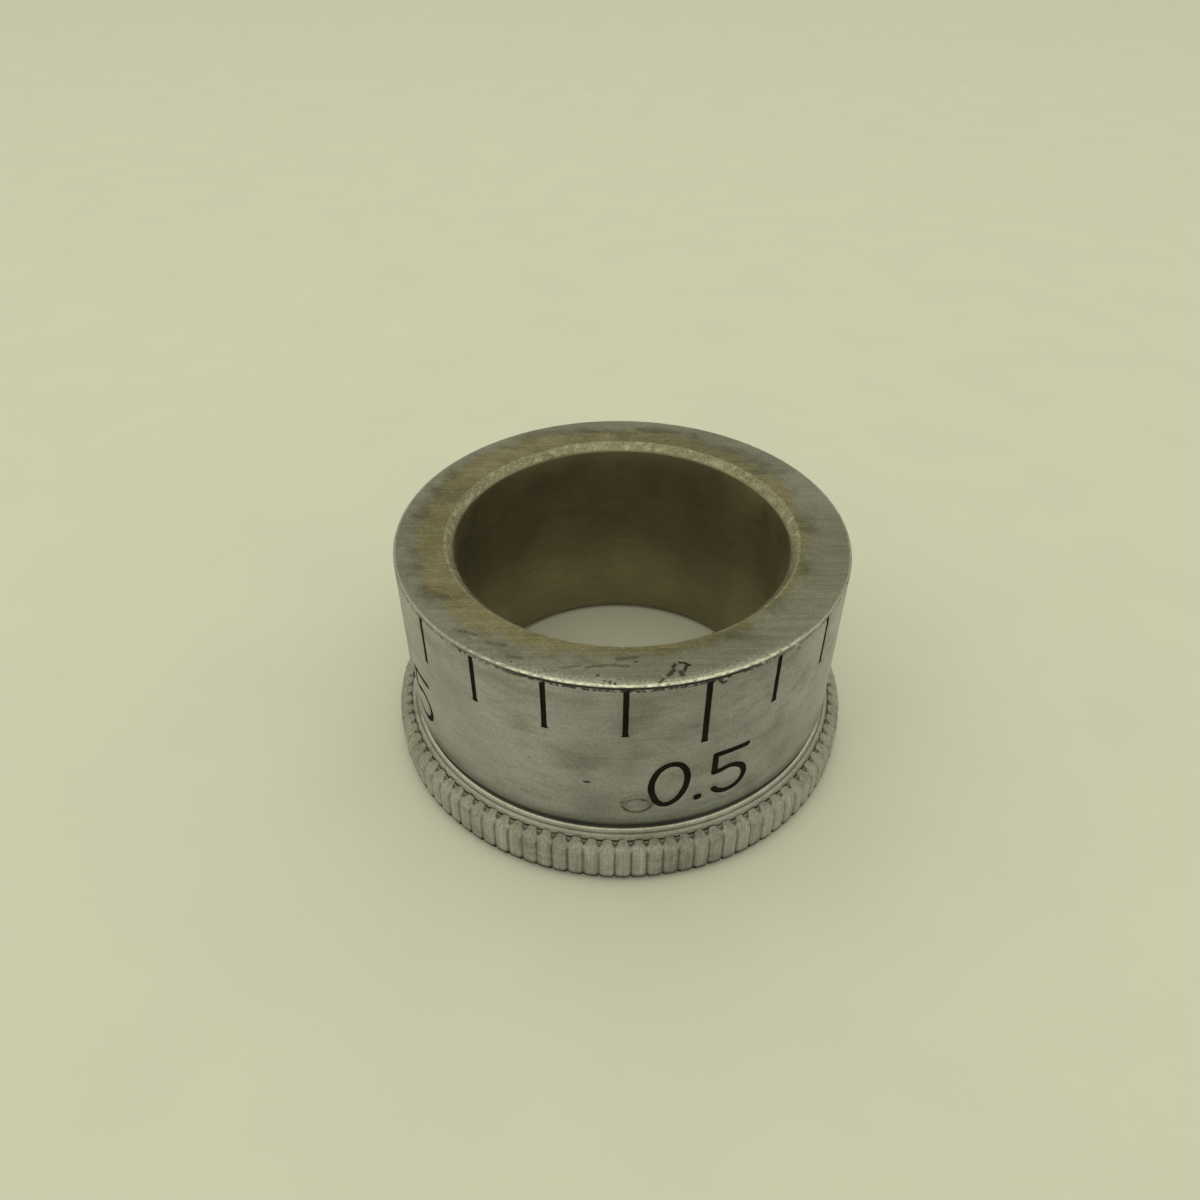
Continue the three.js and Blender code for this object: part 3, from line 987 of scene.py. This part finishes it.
def make_collar(marks):
    shell = Shell()
    bore = bore_rings(shell)
    inner = shell.ring(COARSE, partial(top_edge_place, TOP_INNER_RADIUS))
    shell.bands(bore + [inner])
    outer = shell.ring(FINE, partial(top_edge_place, TOP_OUTER_RADIUS))
    add_top_face(shell, inner, outer)
    rim = rim_rings(shell)
    shell.bands([outer] + rim)
    wall_foot = add_wall(shell, rim[-1], marks)
    lower = lower_rings(shell) + knurl_rings(shell) + base_rings(shell)
    shell.bands([wall_foot] + lower + [bore[0]])
    return shell.to_object("collar_body")


# ---- paint in the grooves

# Each level of a paint fill: how far outside the outline, and how deep under the drum's surface.
PAINT_LEVELS = ((-0.06, 0.045), (-0.004, 0.028), (-0.03, 0.2))


def is_inside(loops, spot):
    """Whether a point lies within closed loops, by how many of their edges a ray crosses."""
    crossings = 0
    for loop in loops:
        for here, there in zip(loop, loop[1:] + loop[:1]):
            if (here.imag > spot.imag) != (there.imag > spot.imag):
                share = (spot.imag - here.imag) / (there.imag - here.imag)
                crossings += here.real + (there.real - here.real) * share > spot.real
    return crossings % 2 == 1


def paint_ring(shell, mark, loop, depth):
    ring = []
    for point in loop:
        angle = mark.angle + math.degrees(point.real / DRUM_RADIUS)
        uneven = 0.006 * rough(Vector((point.real, point.imag, mark.angle)), 0.3, 20.0)
        ring.append(shell.add(on_ring(DRUM_RADIUS - depth - uneven, angle, point.imag)))
    return ring


def add_paint_face(shell, loops, rings):
    """The paint's surface or underside, between its loops."""
    points = [point for loop in loops for point in loop]
    patch = Patch()
    for loop, ring in zip(loops, rings):
        for point, index in zip(loop, ring):
            patch.take(Vector((point.real, point.imag)), index)
        patch.close_loop(len(loop))

    def is_paint(corners):
        return is_inside(loops, sum(points[corner] for corner in corners) / 3)

    shell.fill(patch, is_paint)


def make_paint(mark):
    """One mark's fill of dried paint, slightly sunk in the middle."""
    shell = Shell()
    levels = []
    for extra, depth in PAINT_LEVELS:
        loops = dense_loops(mark, extra)
        levels.append((loops, [paint_ring(shell, mark, loop, depth) for loop in loops]))
    for (_, upper), (_, lower) in zip(levels, levels[1:]):
        for first, second in zip(upper, lower):
            shell.band(first, second)
    add_paint_face(shell, *levels[0])
    add_paint_face(shell, *levels[-1])
    return shell.to_object(f"{mark.name}_paint")


# ---- materials

class Tree:
    """Short calls that add nodes to one material."""

    def __init__(self, name):
        self.material = bpy.data.materials.new(name)
        self.material.use_nodes = True
        self.nodes = self.material.node_tree.nodes
        self.links = self.material.node_tree.links
        self.shader = self.nodes["Principled BSDF"]

    def put(self, socket, value):
        """Sets a socket to a constant, or joins an output to it."""
        if isinstance(value, bpy.types.NodeSocket):
            self.links.new(value, socket)
        else:
            socket.default_value = value

    def node(self, kind, settings, inputs):
        node = self.nodes.new(kind)
        for name, value in settings.items():
            setattr(node, name, value)
        for name, value in inputs.items():
            self.put(node.inputs[name], value)
        return node

    def value(self, name):
        """One of the surface values that the mesh carries."""
        return self.node("ShaderNodeAttribute", {"attribute_name": name}, {}).outputs["Fac"]

    def place(self, turn=0.0, scale=(1.0, 1.0, 1.0)):
        """The place on the object in mm, turned about Z by an angle in degrees and then stretched."""
        source = self.node("ShaderNodeTexCoord", {}, {}).outputs["Object"]
        in_mm = [part / METRES for part in scale]
        rotation = (0.0, 0.0, math.radians(turn))
        turned = self.node("ShaderNodeMapping", {}, {"Vector": source, "Rotation": rotation})
        stretched = self.node("ShaderNodeMapping", {}, {"Vector": turned.outputs[0], "Scale": in_mm})
        return stretched.outputs[0]

    def noise(self, place, grain, detail=3.0, roughness=0.55):
        """Noise from 0 to 1 with features of about grain mm."""
        inputs = {"Vector": place, "Scale": 1.0 / grain, "Detail": detail, "Roughness": roughness}
        return self.node("ShaderNodeTexNoise", {}, inputs).outputs["Fac"]

    def ramp(self, value, low, high, to_low=0.0, to_high=1.0):
        """A smooth step of a value from one range to another."""
        inputs = {"Value": value, "From Min": low, "From Max": high, "To Min": to_low, "To Max": to_high}
        settings = {"interpolation_type": "SMOOTHSTEP"}
        return self.node("ShaderNodeMapRange", settings, inputs).outputs["Result"]

    def math(self, operation, first, second, clamp=False):
        settings = {"operation": operation, "use_clamp": clamp}
        return self.node("ShaderNodeMath", settings, {0: first, 1: second}).outputs[0]

    def times(self, first, second):
        return self.math("MULTIPLY", first, second)

    def plus(self, first, second, clamp=False):
        return self.math("ADD", first, second, clamp)

    def mix(self, share, first, second, blend="MIX"):
        settings = {"data_type": "RGBA", "blend_type": blend}
        inputs = {"Factor": share, "A": first, "B": second}
        return self.node("ShaderNodeMix", settings, inputs).outputs["Result"]

    def tint(self, colour, by):
        return self.mix(1.0, colour, by, "MULTIPLY")

    def bump(self, height, distance_mm, strength, normal=None):
        inputs = {"Height": height, "Distance": distance_mm * METRES, "Strength": strength}
        if normal is not None:
            inputs["Normal"] = normal
        return self.node("ShaderNodeBump", {}, inputs).outputs["Normal"]

    def finish(self, **inputs):
        for name, value in inputs.items():
            self.put(self.shader.inputs[name.replace("_", " ")], value)
        return self.material


def grey(level, warmth):
    """A colour from a linear level; warmth takes blue away."""
    return (level, level, level * (1.0 - warmth), 1.0)


BRUSH_ANGLE = -16.6
PALE_VARNISH = (1.06, 0.94, 0.65, 1.0)
BROWN_VARNISH = (0.86, 0.73, 0.47, 1.0)
DARK_VARNISH = (0.60, 0.50, 0.32, 1.0)
VARNISH_EDGE = (0.085, 0.078, 0.05, 1.0)
DRIED_DROP = (0.085, 0.07, 0.02, 1.0)
DARK_BORE = (0.27, 0.235, 0.155, 1.0)
PALE_BORE = (0.35, 0.305, 0.195, 1.0)
DIRT_AND_SHADE_COLOUR = (0.022, 0.021, 0.018, 1.0)


class Steel(Tree):
    """The worn steel's nodes, with the values and patterns that its parts share."""

    def __init__(self):
        super().__init__("worn_steel")
        self.top = self.value("top")
        self.bore = self.value("bore")
        self.knurl = self.value("knurl")
        self.dirt = self.value("dirt")
        self.bright = self.value("bright")

        # Brushed lines: straight across the top face, level round the drum and bore, upright on the knurl.
        self.straight = self.noise(self.place(-BRUSH_ANGLE, (0.2, 6.0, 1.0)), 1.0, 4.0, 0.65)
        self.level = self.noise(self.place(0.0, (0.5, 0.5, 9.0)), 1.0, 3.0, 0.6)
        self.upright = self.noise(self.place(0.0, (9.0, 9.0, 0.3)), 1.0, 3.0, 0.7)

        place = self.place()
        self.speckle = self.noise(place, 0.11, 3.0, 0.7)
        self.sparks = self.noise(place, 0.075, 2.0, 0.6)
        self.mottle = self.noise(place, 1.3, 5.0, 0.6)
        self.cloud = self.ramp(self.noise(place, 5.0, 3.0), 0.35, 0.65)
        self.smudge = self.noise(self.place(35.0, (0.5, 1.0, 1.6)), 2.0, 6.0, 0.7)


def bare_steel(tree):
    """The metal's colours, with its brushed lines and light smudges. The top face is darker and the knurl
    lighter than the drum: partly a different finish, partly painted shade and light.
    """
    drum = tree.mix(tree.cloud, grey(0.37, 0.03), grey(0.44, 0.0))
    top = tree.mix(tree.cloud, grey(0.22, 0.08), grey(0.27, 0.04))
    colour = tree.mix(tree.top, drum, top)
    colour = tree.mix(tree.knurl, colour, grey(0.46, 0.03))
    colour = tree.mix(tree.ramp(tree.smudge, 0.45, 0.68, 0.0, 0.5), colour, grey(0.2, 0.12))
    level = tree.ramp(tree.level, 0.3, 0.7, 0.95, 1.04)
    straight = tree.ramp(tree.straight, 0.3, 0.7, 0.85, 1.12)
    upright = tree.ramp(tree.upright, 0.35, 0.65, 0.86, 1.12)
    colour = tree.tint(colour, tree.mix(tree.knurl, tree.mix(tree.top, level, straight), upright))
    return tree.tint(colour, tree.ramp(tree.speckle, 0.3, 0.7, 0.84, 1.12))


def varnished(tree, colour):
    """The old varnish on the top face: a thin brown film with sparks and a smudged edge."""
    uneven = tree.plus(tree.times(tree.mottle, 2.2), tree.times(tree.straight, 1.4))
    film = tree.plus(tree.value("tan"), tree.math("SUBTRACT", uneven, 1.8))
    tone = tree.mix(tree.ramp(tree.mottle, 0.3, 0.75), PALE_VARNISH, BROWN_VARNISH)
    tone = tree.mix(tree.ramp(tree.smudge, 0.50, 0.66, 0.0, 0.6), tone, DARK_VARNISH)
    filmed = tree.tint(colour, tone)
    filmed = tree.mix(tree.ramp(tree.sparks, 0.60, 0.74, 0.0, 0.55), filmed, grey(0.62, 0.3))
    colour = tree.mix(tree.ramp(film, -0.55, 0.55, 0.0, 0.95), colour, filmed)
    edge = tree.times(tree.ramp(film, -1.0, 0.0, 0.0, 0.62), tree.ramp(film, 0.0, 0.7, 1.0, 0.0))
    edge = tree.times(edge, tree.ramp(tree.smudge, 0.42, 0.62))
    return tree.mix(tree.times(edge, tree.top), colour, VARNISH_EDGE)


def worn(tree, colour):
    """The dried drop, the bore, the painted highlights with some rubbed polish and, over all of them, the
    dirt and painted shade.
    """
    drop = tree.math("MULTIPLY", tree.value("stain"), 1.3, clamp=True)
    colour = tree.mix(drop, colour, DRIED_DROP)
    bore = tree.mix(tree.cloud, DARK_BORE, PALE_BORE)
    colour = tree.mix(tree.bore, colour, tree.tint(bore, tree.ramp(tree.level, 0.3, 0.7, 0.93, 1.06)))
    ragged = tree.plus(tree.bright, tree.times(tree.math("SUBTRACT", tree.speckle, 0.5), 0.6))
    colour = tree.mix(tree.ramp(ragged, 0.15, 1.0, 0.0, 0.95), colour, grey(0.95, 0.04))
    return tree.mix(tree.ramp(tree.dirt, 0.1, 0.85, 0.0, 0.96), colour, DIRT_AND_SHADE_COLOUR)


def steel_roughness(tree):
    roughness = tree.ramp(tree.mottle, 0.3, 0.7, 0.38, 0.5)
    roughness = tree.plus(roughness, tree.times(tree.dirt, 0.25), clamp=True)
    roughness = tree.plus(roughness, tree.times(tree.knurl, 0.04), clamp=True)
    return tree.math("SUBTRACT", roughness, tree.times(tree.bright, 0.12), clamp=True)


def steel_material():
    tree = Steel()
    colour = worn(tree, varnished(tree, bare_steel(tree)))
    lines = tree.mix(tree.knurl, tree.mix(tree.top, tree.level, tree.straight), tree.upright)
    normal = tree.bump(lines, 0.012, tree.ramp(tree.bore, 0.0, 1.0, 0.5, 0.1))
    normal = tree.bump(tree.speckle, 0.006, 0.5, normal)
    return tree.finish(Base_Color=colour, Metallic=0.9, Roughness=steel_roughness(tree), Normal=normal)


def paint_material():
    tree = Tree("black_paint")
    place = tree.place()
    fine = tree.noise(place, 0.09, 3.0)
    broad = tree.noise(place, 0.8, 3.0)
    colour = tree.mix(tree.ramp(broad, 0.3, 0.7), (0.004, 0.004, 0.003, 1.0), (0.010, 0.009, 0.006, 1.0))
    roughness = tree.ramp(fine, 0.3, 0.7, 0.75, 0.9)
    normal = tree.bump(fine, 0.01, 0.5)
    return tree.finish(Base_Color=colour, Roughness=roughness, Specular_IOR_Level=0.12, Normal=normal)


def floor_material():
    tree = Tree("pale_card")
    place = tree.place()
    fibre = tree.noise(place, 0.5, 5.0)
    cloud = tree.noise(place, 9.0, 3.0)
    colour = tree.mix(tree.ramp(cloud, 0.3, 0.7), (0.79, 0.79, 0.785, 1.0), (0.81, 0.81, 0.805, 1.0))
    return tree.finish(Base_Color=colour, Roughness=0.9, Normal=tree.bump(fibre, 0.02, 0.25))


# ---- stage, lights and camera

def make_floor():
    mesh = bpy.data.meshes.new("floor")
    grid = bmesh.new()
    bmesh.ops.create_grid(grid, x_segments=8, y_segments=8, size=0.6)
    grid.to_mesh(mesh)
    grid.free()
    mesh.materials.append(floor_material())
    add_object("floor", mesh)


def seen_from_front(right, back, z):
    """A place, from mm to the camera's right, mm away from it, and the height."""
    turn = math.radians(FRONT_ANGLE + 90.0)
    x = right * math.cos(turn) - back * math.sin(turn)
    y = right * math.sin(turn) + back * math.cos(turn)
    return Vector((x, y, z))


def aim(thing, place, target):
    thing.location = place * METRES
    thing.rotation_euler = ((target - place) * METRES).to_track_quat("-Z", "Y").to_euler()


def make_softbox(name, place, size_mm, power):
    """A soft light that faces the middle of the collar."""
    light = bpy.data.lights.new(name, "AREA")
    light.shape = "RECTANGLE"
    light.size = size_mm[0] * METRES
    light.size_y = size_mm[1] * METRES
    light.energy = power
    light.color = (1.0, 1.0, 0.7)
    aim(add_object(name, light), place, Vector((0.0, 0.0, HEIGHT / 2)))


def make_lights():
    make_softbox("overhead", seen_from_front(-40, -60, 300), (400, 400), 0.12)
    make_softbox("left", seen_from_front(-300, -60, 150), (260, 220), 0.035)
    make_softbox("right", seen_from_front(300, 90, 120), (120, 200), 0.012)
    world = bpy.data.worlds.new("studio")
    world.use_nodes = True
    background = world.node_tree.nodes["Background"]
    background.inputs["Color"].default_value = (0.72, 0.72, 0.5, 1.0)
    background.inputs["Strength"].default_value = 0.92
    bpy.context.scene.world = world


def make_camera():
    camera = bpy.data.cameras.new("camera")
    camera.lens = 28.0
    camera.sensor_width = 36.0
    camera.clip_start = 0.001
    holder = add_object("camera", camera)
    place = seen_from_front(0.0, -40.87, 41.19)
    target = seen_from_front(-1.43, 9.70, 0.0)
    aim(holder, place, target)
    bpy.context.scene.camera = holder
    bpy.context.scene.view_settings.view_transform = "Standard"


# ---- the scene

def place_piece(piece, node, material):
    """Hands one visual piece to the frame in place of its CAD node."""
    piece.data.materials.append(material)
    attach(piece, "root")
    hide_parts(node)


marks = list_marks()
make_camera()
make_lights()
make_floor()
place_piece(make_collar(marks), "graduated_collar", steel_material())
paint = paint_material()
for mark in marks:
    place_piece(make_paint(mark), mark.name, paint)
